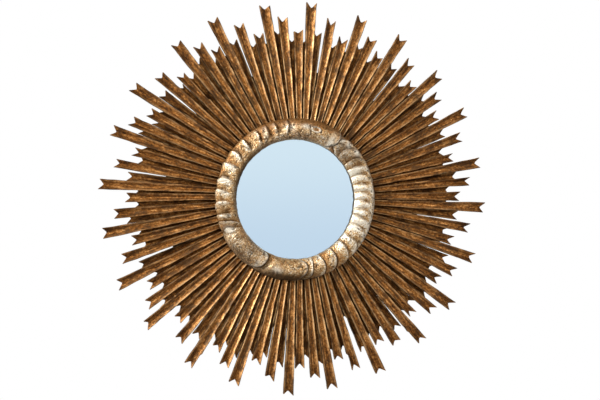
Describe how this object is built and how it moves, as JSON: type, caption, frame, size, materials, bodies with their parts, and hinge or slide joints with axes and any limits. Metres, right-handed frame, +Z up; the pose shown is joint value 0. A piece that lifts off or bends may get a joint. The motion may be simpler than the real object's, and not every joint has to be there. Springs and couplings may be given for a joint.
{
  "type": "sunburst wall mirror",
  "caption": "Round wall mirror in a carved leaf-wreath ring, set in a sunburst of fluted gilt wooden rays with notched tips, with a screwed back cover and swinging D-ring hangers.",
  "frame": {"origin": "centre of the back cover's rear face, where the mirror rests on the wall", "axes": "+Y into the wall, -Y out of the front, +Z up, +X to the right as seen from the front"},
  "size_m": [1.0013, 0.074, 1.0013],
  "materials": {
    "gilt_rays": "worn antique gold leaf over brown",
    "silver_gilt": "worn silver and champagne leaf over brown",
    "mirror_plate": "polished",
    "plywood": "stained dark brown, matt",
    "hardboard": "smooth hardboard",
    "card_packing": "corrugated card",
    "screw_steel": "yellow zinc plated",
    "zinc_steel": "bright zinc plated"
  },
  "bodies": {
    "mirror": {"back_cover": "plywood", "back_rays_lower_left": "gilt_rays", "back_rays_lower_right": "gilt_rays", "back_rays_upper_left": "gilt_rays", "back_rays_upper_right": "gilt_rays", "backing_board": "hardboard", "carved_ring": "silver_gilt", "cover_screws": "screw_steel", "hanger_screws": "zinc_steel", "hanger_strap_left": "zinc_steel", "hanger_strap_right": "zinc_steel", "long_ray_01": "gilt_rays", "long_ray_02": "gilt_rays", "long_ray_03": "gilt_rays", "long_ray_04": "gilt_rays", "long_ray_05": "gilt_rays", "long_ray_06": "gilt_rays", "long_ray_07": "gilt_rays", "long_ray_08": "gilt_rays", "long_ray_09": "gilt_rays", "long_ray_10": "gilt_rays", "long_ray_11": "gilt_rays", "long_ray_12": "gilt_rays", "long_ray_13": "gilt_rays", "long_ray_14": "gilt_rays", "long_ray_15": "gilt_rays", "long_ray_16": "gilt_rays", "long_ray_17": "gilt_rays", "long_ray_18": "gilt_rays", "long_ray_19": "gilt_rays", "long_ray_20": "gilt_rays", "long_ray_21": "gilt_rays", "long_ray_22": "gilt_rays", "long_ray_23": "gilt_rays", "long_ray_24": "gilt_rays", "medium_rays_lower_left": "gilt_rays", "medium_rays_lower_right": "gilt_rays", "medium_rays_upper_left": "gilt_rays", "medium_rays_upper_right": "gilt_rays", "mirror_glass": "mirror_plate", "packing_disc": "card_packing", "rear_panel": "plywood", "ring_screws": "screw_steel", "short_rays_lower_left": "gilt_rays", "short_rays_lower_right": "gilt_rays", "short_rays_upper_left": "gilt_rays", "short_rays_upper_right": "gilt_rays"},
    "d_ring_left": {"d_ring_left": "zinc_steel"},
    "d_ring_right": {"d_ring_right": "zinc_steel"}
  },
  "joints": [
    {"name": "d_ring_left_swing", "type": "hinge", "parent": "mirror", "child": "d_ring_left", "pos_m": [-0.19, -0.00645, 0.172], "axis": [1, 0, 0], "range_deg": [0, 171]},
    {"name": "d_ring_right_swing", "type": "hinge", "parent": "mirror", "child": "d_ring_right", "pos_m": [0.19, -0.00645, 0.172], "axis": [1, 0, 0], "range_deg": [0, 171]}
  ]
}
